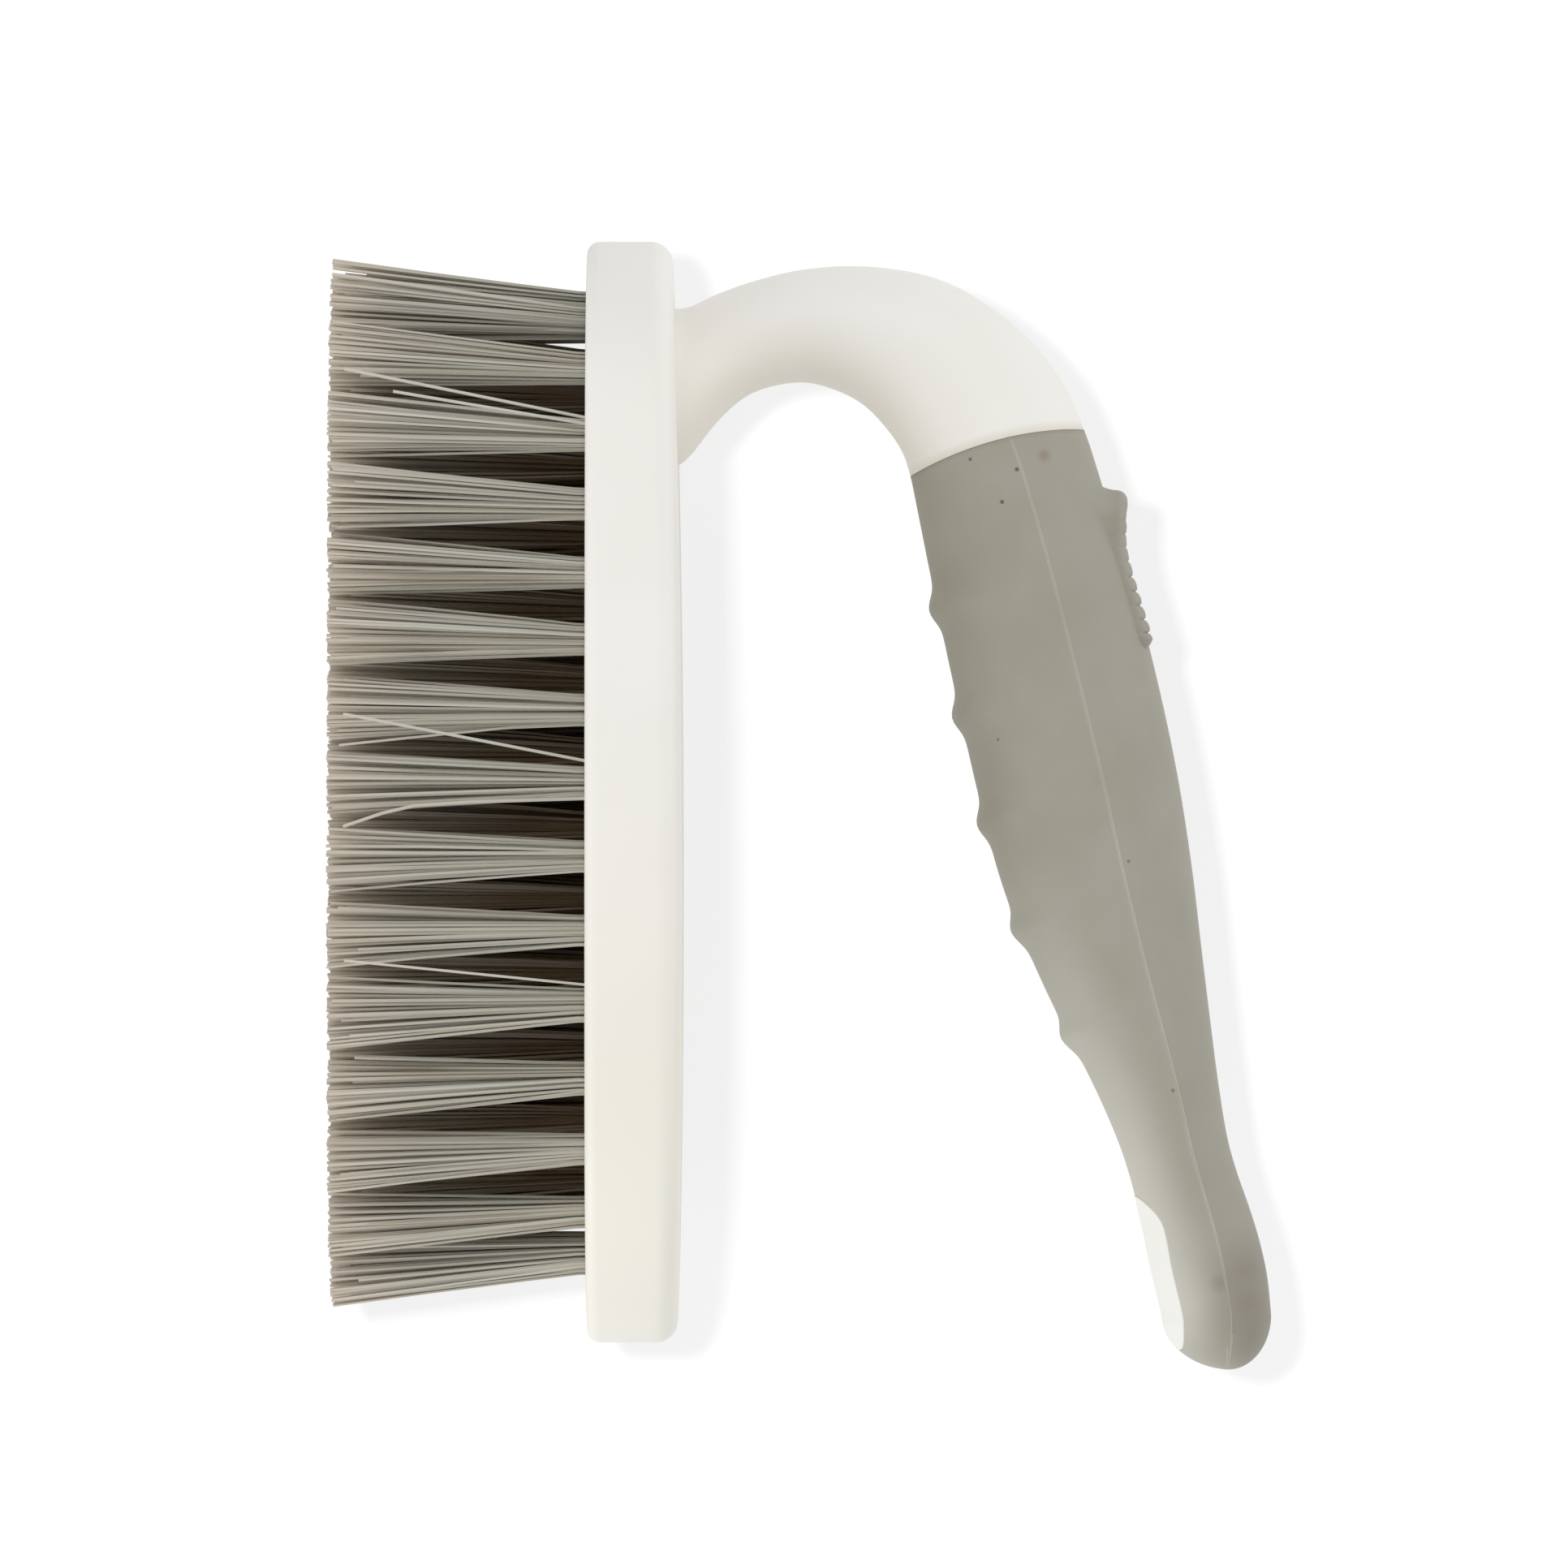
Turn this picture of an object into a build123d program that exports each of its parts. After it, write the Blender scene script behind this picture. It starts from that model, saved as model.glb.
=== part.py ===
from build123d import *
from math import atan2, ceil, cos, degrees, floor, radians, sin, sqrt
import os

# Hand scrub brush standing on its bristles. X runs from the nose (-) to the heel (+) of the block,
# Y across it, Z up. The origin is the middle of the block's length, on the plane of the bristle tips.

# ------------------------------------------------------------------ block, mm
block_length = 150.0
block_thickness = 12.9
nose_radius = 28.5  # plan radius of the narrower end, under the handle's root
heel_radius = 33.0
side_radius = 400.0  # the sides bulge a little between nose and heel
crown_radius = 3000.0  # the top is crowned along its length
crown_x = 14.0
top_edge = 1.76  # bevels round the top that follow a radius of 3: the middle one, then the outer two
outer_bevel = 0.65
bottom_edge = 1.2

# ------------------------------------------------------------------ bristles
bristle_length = 34.8  # from the block's underside to the floor
nose_margin = 9.1  # from the block's end to the outer ring of tufts
heel_margin = 10.6
tuft_nose_radius = 19.5  # plan radii of the outer ring
tuft_heel_radius = 22.5
tuft_side_radius = 391.0
least_ring_radius = 0.5  # the tightest end that a ring may have
ring_gap = 8.0  # from one ring of tufts to the next
tuft_pitch = 9.7  # from one tuft to the next along a ring or the row
row_gap = 6.2  # least distance from the inner ring to the row down the middle
strand_radius = 0.75  # from the middle of a three-sided strand to its edges
strand_root_spread = 1.7  # from the middle of a tuft to its outer strands, at the block
strand_tip_spread = 3.3  # the same, at the floor
strand_turn = 22.0  # degrees between a tuft's first outer strand and its ring
lean_lengthwise = 0.036  # tufts lean outwards by this share of their distance from the middle
lean_across = 0.05

slice_depth = 2.5  # slice of the block that carries the tufts
slice_margin = 3.0  # from the outer ring to the edge of the slice
slice_clearance = 0.1

anchor_length = 4.6
anchor_thickness = 0.4
anchor_height = 2.2
anchor_clearance = 0.1

# ------------------------------------------------------------------ handle and grip
spigot_length = 14.0
spigot_width = 13.0
spigot_corner = 3.0
spigot_depth = 6.0
socket_clearance = 0.15
root_middle = 19.8  # from the nose to the middle of the handle's root
grip_skin = 2.2  # least thickness of the rubber over the core

# Stations along the handle. Each has its point on the finger side and on the palm side, both as
# distance from the block's nose and height over its top, then half its depth across the brush and
# how much of its breadth lies on the finger side of the widest line, where the mould parts.
arch_stations = [
    ((31.2, -3.0), (8.7, -3.0), 11.9, 0.50),
    ((30.4, 0.0), (9.2, 0.0), 11.3, 0.50),
    ((24.3, 5.0), (7.2, 4.6), 10.4, 0.50),
    ((20.7, 9.4), (5.4, 9.6), 10.0, 0.50),
    ((19.2, 15.6), (3.7, 17.0), 9.9, 0.51),
    ((20.0, 20.2), (3.4, 26.0), 10.2, 0.53),
    ((22.0, 24.3), (5.4, 35.8), 10.9, 0.55),
    ((25.0, 27.4), (11.0, 44.8), 11.7, 0.57),
    ((28.4, 29.8), (18.0, 51.2), 12.3, 0.58),
    ((31.8, 31.0), (25.4, 54.7), 12.7, 0.59),
]
grip_stations = [
    ((36.6, 32.0), (31.4, 56.7), 12.9, 0.60),
    ((45.6, 33.8), (40.4, 59.4), 13.2, 0.61),
    ((58.9, 36.6), (53.4, 63.2), 13.4, 0.61),
    ((75.4, 40.3), (70.0, 67.0), 13.3, 0.62),
    ((88.7, 43.9), (84.0, 69.3), 12.6, 0.63),
    ((102.0, 49.5), (98.2, 71.0), 11.0, 0.64),
    ((113.5, 55.3), (111.2, 72.6), 9.3, 0.65),
    ((118.5, 57.65), (116.9, 73.4), 8.7, 0.65),
    ((123.5, 59.7), (122.6, 74.4), 8.4, 0.64),
    ((127.2, 60.9), (127.1, 75.7), 8.4, 0.63),
    ((131.0, 61.9), (131.6, 77.3), 8.6, 0.62),
    ((135.4, 62.9), (136.2, 78.7), 8.9, 0.62),
    ((139.8, 63.8), (140.8, 79.7), 9.2, 0.62),
    ((146.0, 65.3), (146.6, 80.3), 8.9, 0.62),
]
tip_reach = 7.3  # the rounded tip beyond the last station
tip_angles = [28, 50, 69, 84]
core_stations = arch_stations[-2:] + grip_stations[1::3]

# The rubber starts at a domed face: three points of it, from the finger side to the palm side.
grip_start = [(34.4, 24.0), (27.3, 42.6), (24.3, 62.0)]

# Five ridges across the finger side, evenly spaced.
ridges = 5
first_ridge = 49.5  # from the nose
ridge_pitch = 14.5
ridge_height = 1.0
ridge_half_width = 2.7
ridge_bell = {-1: 0, -0.45: 0.7, 0: 1, 0.45: 0.7, 1: 0}  # share of the half width: share of the height

# Thumb pad on the palm side, with three points of its dished top, and cross ribs on it.
pad_line = [(34.1, 60.0), (43.5, 60.6), (56.0, 64.0)]
pad_sink = 5.0  # how far the pad reaches into the grip
pad_width = 12.6
pad_corner = 4.0
pad_edge = 0.8
ribs = 10
rib_radius = 1.0
rib_height = 0.45
rib_width = 10.2
first_rib = 0.14  # places of the end ribs, as shares of the pad's length
last_rib = 0.94

# White window on the finger side of the tip.
window_middle = (140.4, 63.4)
window_tilt = 14.0
window_length = 22.0
window_width = 13.2
window_depth = 5.0  # how far the window's rim reaches into the core

# ------------------------------------------------------------------ derived
nose_x = -block_length / 2
heel_x = block_length / 2
underside = bristle_length
block_top = underside + block_thickness
slice_top = underside + slice_depth
root_x = nose_x + root_middle
ring_insets = (0, ring_gap, 2 * ring_gap)
strand_turns = (0, 120, 240)  # directions of a tuft's outer strands, degrees
core_angles = range(0, 360, 45)  # corners of the core's section

# How far each ridge lifts the finger side, at distances from the nose.
ridge_lifts = {}
for i in range(ridges):
    for share, height in ridge_bell.items():
        along = first_ridge + ridge_pitch * i + ridge_half_width * share
        ridge_lifts[along] = ridge_height * height


# ------------------------------------------------------------------ outlines
def half_oval(start_x, end_x, start_radius, end_radius, flank_radius):
    """Half an oval from its start to its end on the X axis: end arc, flank arc, end arc."""
    start_centre = start_x + start_radius
    end_centre = end_x - end_radius
    span = end_centre - start_centre
    to_start = flank_radius - start_radius
    to_end = flank_radius - end_radius
    flank_x = (span**2 + to_start**2 - to_end**2) / (2 * span)
    flank_y = sqrt(to_start**2 - flank_x**2)
    start_angle = degrees(atan2(flank_y, -flank_x))
    end_angle = degrees(atan2(flank_y, span - flank_x))
    flank_centre = (start_centre + flank_x, -flank_y)
    with BuildLine() as half:
        CenterArc((start_centre, 0), start_radius, 180, start_angle - 180)
        CenterArc(flank_centre, flank_radius, start_angle, end_angle - start_angle)
        CenterArc((end_centre, 0), end_radius, end_angle, -end_angle)
    return half.wires()[0]


def oval(half):
    """Face of a whole oval from its half outline."""
    with BuildSketch() as face:
        with BuildLine():
            add(half)
            mirror(half, about=Plane.XZ)
        make_face()
    return face.sketch


def ring_half(inset):
    """Half outline that lies inside the outer ring of tufts by the inset."""
    return half_oval(
        nose_x + nose_margin + inset,
        heel_x - heel_margin - inset,
        max(tuft_nose_radius - inset, least_ring_radius),
        max(tuft_heel_radius - inset, least_ring_radius),
        tuft_side_radius - inset,
    )


# ------------------------------------------------------------------ where the tufts stand
def ring_tufts(inset):
    """Tufts evenly spaced round a ring, as (x, y, heading), the same on both sides."""
    half = ring_half(inset)
    steps = round(half.length / tuft_pitch)
    places = []
    for i in range(steps + 1):
        point = half @ (i / steps)
        along = half % (i / steps)
        heading = degrees(atan2(along.Y, along.X))
        places.append((point.X, point.Y, heading))
        if 0 < i < steps:
            places.append((point.X, -point.Y, -heading))
    return places


def row_tufts():
    """Tufts down the middle, counted from the origin, where the inner ring leaves them room."""
    ring = ring_half(ring_insets[-1])
    first = ceil((ring @ 0).X / tuft_pitch)
    last = floor((ring @ 1).X / tuft_pitch)
    along = [tuft_pitch * i for i in range(first, last + 1)]
    return [(x, 0, 0) for x in along if ring.distance_to(Vertex(x, 0, 0)) > row_gap]


tufts = [tuft for inset in ring_insets for tuft in ring_tufts(inset)] + row_tufts()

# Middles of the staples, which stand on the slice and lie along their ring or row.
anchor_middle = slice_top + anchor_height / 2
anchor_places = [Location((x, y, anchor_middle), (0, 0, heading)) for x, y, heading in tufts]


def bristle_slice(clearance=0.0):
    """The slice of block that carries the tufts, or the recess it sits in."""
    with BuildPart() as plate:
        with BuildSketch(Plane.XY.offset(underside)):
            add(oval(ring_half(-slice_margin - clearance)))
        extrude(amount=slice_depth)
    return plate.part


# ------------------------------------------------------------------ block
with BuildPart() as block_form:
    with BuildSketch(Plane.XY.offset(underside)):
        add(oval(half_oval(nose_x, heel_x, nose_radius, heel_radius, side_radius)))
    extrude(amount=block_thickness)
    with BuildSketch(Plane.XZ):
        with Locations((crown_x, block_top - crown_radius)):
            Circle(crown_radius)
    extrude(amount=block_length, both=True, mode=Mode.INTERSECT)
    chamfer(block_form.faces().sort_by(Axis.Z)[-1].edges(), top_edge)
    *sides, crown = block_form.faces().filter_by(GeomType.CYLINDER).sort_by(Axis.Z)
    chamfer(crown.edges() + [side.edges().sort_by(Axis.Z)[-1] for side in sides], outer_bevel)
    chamfer(block_form.faces().sort_by(Axis.Z)[0].edges(), bottom_edge)

with BuildPart() as brush_block:
    add(block_form.part)
    add(bristle_slice(slice_clearance), mode=Mode.SUBTRACT)
    with Locations(*anchor_places):
        Box(
            anchor_length + 2 * anchor_clearance,
            anchor_thickness + 2 * anchor_clearance,
            anchor_height,
            mode=Mode.SUBTRACT,
        )
    with BuildSketch(Plane.XY.offset(block_top)):
        with Locations((root_x, 0)):
            RectangleRounded(
                spigot_length + 2 * socket_clearance,
                spigot_width + 2 * socket_clearance,
                spigot_corner + socket_clearance,
            )
    extrude(amount=-spigot_depth, mode=Mode.SUBTRACT)


# ------------------------------------------------------------------ tufts and their staples
def strand(tuft, turn, root_spread, tip_spread):
    """One straight three-sided strand, from the middle of its slice down to the floor."""
    x, y, heading = tuft
    direction = radians(heading + strand_turn + turn)
    root = Vector(x + root_spread * cos(direction), y + root_spread * sin(direction), underside)
    tip_x = x * (1 + lean_lengthwise) + tip_spread * cos(direction)
    tip_y = y * (1 + lean_across) + tip_spread * sin(direction)
    run = Vector(tip_x, tip_y, 0) - root
    start = root - run * (slice_depth / 2 / underside)
    section = Plane(start) * RegularPolygon(strand_radius, 3)
    return extrude(section, amount=(Vector(tip_x, tip_y, 0) - start).length, dir=run)


def tuft_strands(tuft):
    outer = [strand(tuft, turn, strand_root_spread, strand_tip_spread) for turn in strand_turns]
    return [strand(tuft, 0, 0, 0)] + outer


strands = [piece for tuft in tufts for piece in tuft_strands(tuft)]
with BuildPart() as bristles:
    add(bristle_slice())
    add(strands)

with BuildPart() as anchors:
    with Locations(*anchor_places):
        Box(anchor_length, anchor_thickness, anchor_height)


# ------------------------------------------------------------------ stations of the handle
def on_handle(point):
    """Turn a distance from the nose and a height over the block into a point of the brush."""
    along, up = point
    return Vector(nose_x + along, 0, block_top + up)


def in_profile(point):
    """The same point in a sketch on the XZ plane."""
    place = on_handle(point)
    return Vector(place.X, place.Z)


def between(start, end, share):
    """A share of the way from one number or station to another."""
    if isinstance(start, tuple):
        return tuple(between(*pair, share) for pair in zip(start, end))
    return start + (end - start) * share


def grip_station(along):
    """Station whose point on the finger side lies at this distance from the nose."""
    for station, following in zip(grip_stations, grip_stations[1:]):
        start, end = station[0][0], following[0][0]
        if start <= along <= end:
            return between(station, following, (along - start) / (end - start))


def station_plane(station):
    """Plane across the handle, centred on the widest line, with its X towards the palm side."""
    finger, palm, _, finger_share = station
    across = on_handle(palm) - on_handle(finger)
    middle = on_handle(finger) + across * finger_share
    return Plane(origin=middle, x_dir=across, z_dir=across.cross(Vector(0, 1, 0)))


def half_breadths(station):
    """Breadth on the finger side and on the palm side of the widest line."""
    finger, palm, _, finger_share = station
    breadth = (on_handle(palm) - on_handle(finger)).length
    return breadth * finger_share, breadth * (1 - finger_share)


# ------------------------------------------------------------------ handle
def form_section(plane, finger_radius, palm_radius, half_depth):
    """Two half ellipses that meet on the widest line, each of two quarters."""
    with BuildSketch(plane) as section:
        with BuildLine():
            for start in (90, 180):
                EllipticalCenterArc((0, 0), finger_radius, half_depth, start, arc_size=90)
            for start in (270, 0):
                EllipticalCenterArc((0, 0), palm_radius, half_depth, start, arc_size=90)
        make_face()
    return section.sketch


def station_section(station, lift=0.0):
    """Section at a station, its finger side lifted."""
    finger_radius, palm_radius = half_breadths(station)
    return form_section(station_plane(station), finger_radius + lift, palm_radius, station[2])


def tip_section(angle):
    """Section of the rounded tip, at an angle from the last station towards the tip's end."""
    last = grip_stations[-1]
    plane = station_plane(last).offset(-tip_reach * sin(radians(angle)))
    radii = [size * cos(radians(angle)) for size in (*half_breadths(last), last[2])]
    return form_section(plane, *radii)


def core_section(station):
    """Eight-sided section that leaves the rubber round it."""
    finger_radius, palm_radius = half_breadths(station)
    half_depth = station[2] - grip_skin
    corners = []
    for angle in map(radians, core_angles):
        radius = (palm_radius if cos(angle) > 0 else finger_radius) - grip_skin
        corners.append((radius * cos(angle), half_depth * sin(angle)))
    with BuildSketch(station_plane(station)) as section:
        Polygon(*corners, align=None)
    return section.sketch


with BuildPart() as handle_form:
    places = sorted([station[0][0] for station in grip_stations] + list(ridge_lifts))
    sections = [station_section(station) for station in arch_stations]
    sections += [station_section(grip_station(along), ridge_lifts.get(along, 0)) for along in places]
    sections += [tip_section(angle) for angle in tip_angles]
    loft(sections, ruled=True)

with BuildPart() as core:
    loft([core_section(station) for station in core_stations], ruled=True)

with BuildPart() as grip_zone:
    with BuildSketch(Plane.XZ):
        with BuildLine():
            low, dome, high = map(in_profile, grip_start)
            above = high.Y + block_length
            beyond = heel_x + block_length
            ThreePointArc(low, dome, high)
            Polyline(high, (high.X, above), (beyond, above), (beyond, low.Y), low)
        make_face()
    extrude(amount=block_length, both=True)

# White window: the piece of the handle's form that comes through the rubber at the tip.
with BuildPart() as window:
    with BuildSketch(Plane(on_handle(window_middle)).rotated((0, -window_tilt, 0))):
        Ellipse(window_length / 2, window_width / 2)
    extrude(amount=window_depth, both=True)
    add(handle_form.part, mode=Mode.INTERSECT)

with BuildPart() as handle:
    add(handle_form.part)
    add(grip_zone.part, mode=Mode.SUBTRACT)
    add(block_form.part, mode=Mode.SUBTRACT)
    add(core.part)
    add(window.part)
    with BuildSketch(Plane.XY.offset(block_top - spigot_depth)):
        with Locations((root_x, 0)):
            RectangleRounded(spigot_length, spigot_width, spigot_corner)
    extrude(amount=spigot_depth)

# ------------------------------------------------------------------ soft grip
with BuildPart() as thumb_pad:
    with BuildSketch(Plane.XZ):
        with BuildLine():
            start, dish, end = map(in_profile, pad_line)
            pad_top = ThreePointArc(start, dish, end)
            Polyline(end, end - (0, pad_sink), start - (0, pad_sink), start)
        make_face()
    extrude(amount=pad_width / 2, both=True)
    fillet(thumb_pad.edges().filter_by(Axis.Z), pad_corner)
    chamfer(thumb_pad.faces().filter_by(GeomType.CYLINDER).sort_by(Axis.Z)[-1].edges(), pad_edge)
    for i in range(ribs):
        foot = pad_top @ (first_rib + (last_rib - first_rib) * i / (ribs - 1))
        with Locations(Location((foot.X, 0, foot.Y + rib_height - rib_radius), (90, 0, 0))):
            Cylinder(rib_radius, rib_width)

with BuildPart() as soft_grip:
    add(handle_form.part)
    add(grip_zone.part, mode=Mode.INTERSECT)
    add(thumb_pad.part)
    add(handle.part, mode=Mode.SUBTRACT)

# ------------------------------------------------------------------ write the pieces
os.makedirs("parts", exist_ok=True)
brush_block.part.label = "brush_block"
export_step(brush_block.part, "parts/brush_block.step")
handle.part.label = "handle"
export_step(handle.part, "parts/handle.step")
soft_grip.part.label = "soft_grip"
export_step(soft_grip.part, "parts/soft_grip.step")
bristles.part.label = "bristles"
export_step(bristles.part, "parts/bristles.step")
anchors.part.label = "anchors"
export_step(anchors.part, "parts/anchors.step")
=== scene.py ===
import math
import random

import bmesh
import bpy
from mathutils import Matrix, Vector


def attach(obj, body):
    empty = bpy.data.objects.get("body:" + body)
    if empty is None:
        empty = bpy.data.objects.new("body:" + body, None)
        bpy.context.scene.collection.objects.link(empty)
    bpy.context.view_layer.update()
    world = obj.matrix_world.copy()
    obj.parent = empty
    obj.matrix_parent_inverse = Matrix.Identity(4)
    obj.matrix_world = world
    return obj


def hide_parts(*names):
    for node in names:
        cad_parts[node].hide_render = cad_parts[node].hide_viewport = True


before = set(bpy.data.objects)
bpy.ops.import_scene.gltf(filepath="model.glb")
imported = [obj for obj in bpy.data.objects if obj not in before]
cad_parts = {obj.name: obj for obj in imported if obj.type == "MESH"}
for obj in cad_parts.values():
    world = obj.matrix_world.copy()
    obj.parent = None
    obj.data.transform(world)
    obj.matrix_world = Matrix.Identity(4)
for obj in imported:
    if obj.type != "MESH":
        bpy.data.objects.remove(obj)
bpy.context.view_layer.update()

# Hand scrub brush. X runs from the nose to the heel of the block, Y across it, Z up from the bristle tips.
# The camera looks along +Y at its side, with the bristles to the left and the nose to the top.
mm = 0.001
halfLength = 75
noseX = -halfLength * mm
bristleLength = 34.8
underside = bristleLength * mm
blockTop = 47.7 * mm


def onHandle(along, up):
    # distance from the nose and height over the block, in mm
    return Vector((noseX + along * mm, 0, blockTop + up * mm))


def selectMesh():
    bpy.ops.mesh.select_all(action="SELECT")


def endEdit():
    bpy.ops.object.mode_set(mode="OBJECT")


def applyPlace():
    # place goes into the mesh, so the object itself sits at the origin
    bpy.ops.object.transform_apply(location=True, rotation=True, scale=True)


def startPiece():
    if bpy.context.object and bpy.context.object.mode != "OBJECT":
        endEdit()
    bpy.ops.object.select_all(action="DESELECT")


def namePiece(name):
    piece = bpy.context.object
    piece.name = name
    piece.data.name = name
    applyPlace()
    return piece


def only(piece):
    startPiece()
    piece.select_set(True)
    bpy.context.view_layer.objects.active = piece


def startEdit(piece, kind="VERT"):
    only(piece)
    bpy.ops.object.mode_set(mode="EDIT")
    bpy.ops.mesh.select_mode(type=kind)
    bpy.ops.mesh.select_all(action="DESELECT")


def pick(piece, kind, test):
    # choose vertices, edges or faces by a test of their place or normal
    bpy.ops.mesh.select_mode(type={"verts": "VERT", "edges": "EDGE", "faces": "FACE"}[kind])
    bpy.ops.mesh.select_all(action="DESELECT")
    mesh = bmesh.from_edit_mesh(piece.data)
    for part in getattr(mesh, kind):
        if test(part):
            part.select_set(True)
    mesh.select_flush_mode()
    bmesh.update_edit_mesh(piece.data)


def pickNumbers(piece, first, last):
    # choose the vertices first to last by their order
    bpy.ops.mesh.select_mode(type="VERT")
    bpy.ops.mesh.select_all(action="DESELECT")
    mesh = bmesh.from_edit_mesh(piece.data)
    mesh.verts.ensure_lookup_table()
    for i in range(first, last):
        mesh.verts[i].select_set(True)
    mesh.select_flush(True)
    bmesh.update_edit_mesh(piece.data)


def tidyMesh(piece):
    selectMesh()
    bpy.ops.mesh.remove_doubles(threshold=0.000002)
    selectMesh()
    bpy.ops.mesh.normals_make_consistent(inside=False)
    endEdit()


def applyModifier(piece, kind, **settings):
    only(piece)
    modifier = piece.modifiers.new(kind.lower(), kind)
    for name, value in settings.items():
        setattr(modifier, name, value)
    bpy.ops.object.modifier_apply(modifier=modifier.name)


def cutWith(piece, cutter, how):
    applyModifier(piece, "BOOLEAN", object=cutter, operation=how, solver="EXACT")


def duplicate(piece, name):
    only(piece)
    bpy.ops.object.duplicate()
    twin = bpy.context.object
    twin.name = name
    twin.data.name = name
    return twin


def remove(*pieces):
    for piece in pieces:
        bpy.data.objects.remove(piece, do_unlink=True)


def smooth(piece, degrees):
    only(piece)
    bpy.ops.object.shade_smooth_by_angle(angle=math.radians(degrees))


# camera, lamps, backdrop
view = {
    "cameraPlace": (-1.1 * mm, -2.0, 61.57 * mm),
    "lens": 337,
    "clip": (0.05, 50),
    "lampAim": (0, 0, 0.06),
    "backdropY": 34.2 * mm,  # the brush lies with its far side on this sheet
    "backdropSize": 6,
    "backdropTone": 0.12,
    "backdropGlow": 0.79,
    "skyStrength": 0.7,
}
lamps = {
    "shadowLamp": {"place": (-0.09, -1.6, -0.148), "power": 40, "size": 0.105},  # lights the sheet alone
    "lowLeftLamp": {"place": (0.62, -0.55, -1.0), "power": 7.2, "size": 0.8},
    "noseLamp": {"place": (-0.32, -0.14, 0.29), "power": 0.13, "size": 0.25},
    "rightLamp": {"place": (-0.35, -0.55, 1.3), "power": 3.6, "size": 0.8},
    "heelLamp": {"place": (1.1, -0.5, 0.2), "power": 1.0, "size": 0.8},
    "noseFrontLamp": {"place": (-0.27, -0.36, -0.02), "power": 0.13, "size": 0.2},
}

scene = bpy.context.scene
scene.view_settings.view_transform = "Standard"
startPiece()
bpy.ops.object.camera_add()
cameraObject = bpy.context.object
cameraObject.name = "sideCamera"
x, y, z = view["cameraPlace"]
cameraObject.matrix_world = Matrix(((0, -1, 0, x), (0, 0, -1, y), (1, 0, 0, z), (0, 0, 0, 1)))
cameraObject.data.lens = view["lens"]
cameraObject.data.clip_start, cameraObject.data.clip_end = view["clip"]
scene.camera = cameraObject

for name, values in lamps.items():
    place = Vector(values["place"])
    startPiece()
    turn = (place - Vector(view["lampAim"])).to_track_quat("Z", "Y").to_euler()
    bpy.ops.object.light_add(type="AREA", location=place, rotation=turn)
    lamp = bpy.context.object
    lamp.name = name
    lamp.data.energy = values["power"]
    lamp.data.size = values["size"]


def addNode(tree, kind, values=None, **settings):
    # values go to the node's inputs by name or number, settings to the node itself
    node = tree.nodes.new("ShaderNode" + kind)
    for name, value in settings.items():
        setattr(node, name, value)
    for socket, value in (values or {}).items():
        node.inputs[socket].default_value = value
    return node


def link(tree, *pairs):
    # each pair is an output and the input that it feeds
    for source, target in pairs:
        tree.links.new(source, target)


def newTree(name):
    material = bpy.data.materials.new(name)
    material.use_nodes = True
    material.node_tree.nodes.clear()
    return material, material.node_tree


def straightLook(tree):
    # 1 where the camera, a reflection or a clear piece looks at the background
    seen = addNode(tree, "LightPath")
    mirrored = addNode(tree, "Math", operation="MAXIMUM")
    either = addNode(tree, "Math", operation="MAXIMUM")
    link(
        tree, (seen.outputs["Is Glossy Ray"], mirrored.inputs[0]),
        (seen.outputs["Is Transmission Ray"], mirrored.inputs[1]),
        (seen.outputs["Is Camera Ray"], either.inputs[0]), (mirrored.outputs[0], either.inputs[1]),
    )
    return either.outputs[0]


sky = bpy.data.worlds.new("paleStudio")
sky.use_nodes = True
scene.world = sky
tree = sky.node_tree
tree.nodes.clear()
lit = addNode(tree, "Background", {"Color": (1, 1, 1, 1), "Strength": view["skyStrength"]})
shown = addNode(tree, "Background", {"Color": (1, 1, 1, 1), "Strength": 1.0})
choose = addNode(tree, "MixShader")
out = addNode(tree, "OutputWorld")
link(
    tree, (straightLook(tree), choose.inputs[0]), (lit.outputs[0], choose.inputs[1]),
    (shown.outputs[0], choose.inputs[2]), (choose.outputs[0], out.inputs["Surface"]),
)

startPiece()
bpy.ops.mesh.primitive_plane_add(
    size=view["backdropSize"], location=(0, view["backdropY"], 0), rotation=(math.radians(90), 0, 0)
)
backdrop = namePiece("paleBackdrop")
backdrop.visible_diffuse = False  # the far side of the brush still gets the sky's light
backdrop.visible_shadow = False
sheetOnly = bpy.data.collections.new("sheetOnly")
sheetOnly.objects.link(backdrop)
bpy.data.objects["shadowLamp"].light_linking.receiver_collection = sheetOnly
paper, tree = newTree("palePaper")
glowAmount = addNode(tree, "Math", {1: view["backdropGlow"]}, operation="MULTIPLY")
matte = addNode(tree, "BsdfDiffuse", {"Color": (*[view["backdropTone"]] * 3, 1)})
glow = addNode(tree, "Emission", {"Color": (1, 1, 1, 1)})
both = addNode(tree, "AddShader")
clear = addNode(tree, "BsdfTransparent")
side = addNode(tree, "NewGeometry")
choose = addNode(tree, "MixShader")
out = addNode(tree, "OutputMaterial")
link(
    tree, (straightLook(tree), glowAmount.inputs[0]), (glowAmount.outputs[0], glow.inputs["Strength"]),
    (matte.outputs[0], both.inputs[0]), (glow.outputs[0], both.inputs[1]),
    (side.outputs["Backfacing"], choose.inputs[0]), (both.outputs[0], choose.inputs[1]),
    (clear.outputs[0], choose.inputs[2]), (choose.outputs[0], out.inputs["Surface"]),
)
backdrop.data.materials.append(paper)
print("camera, lamps and backdrop stand")

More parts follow.
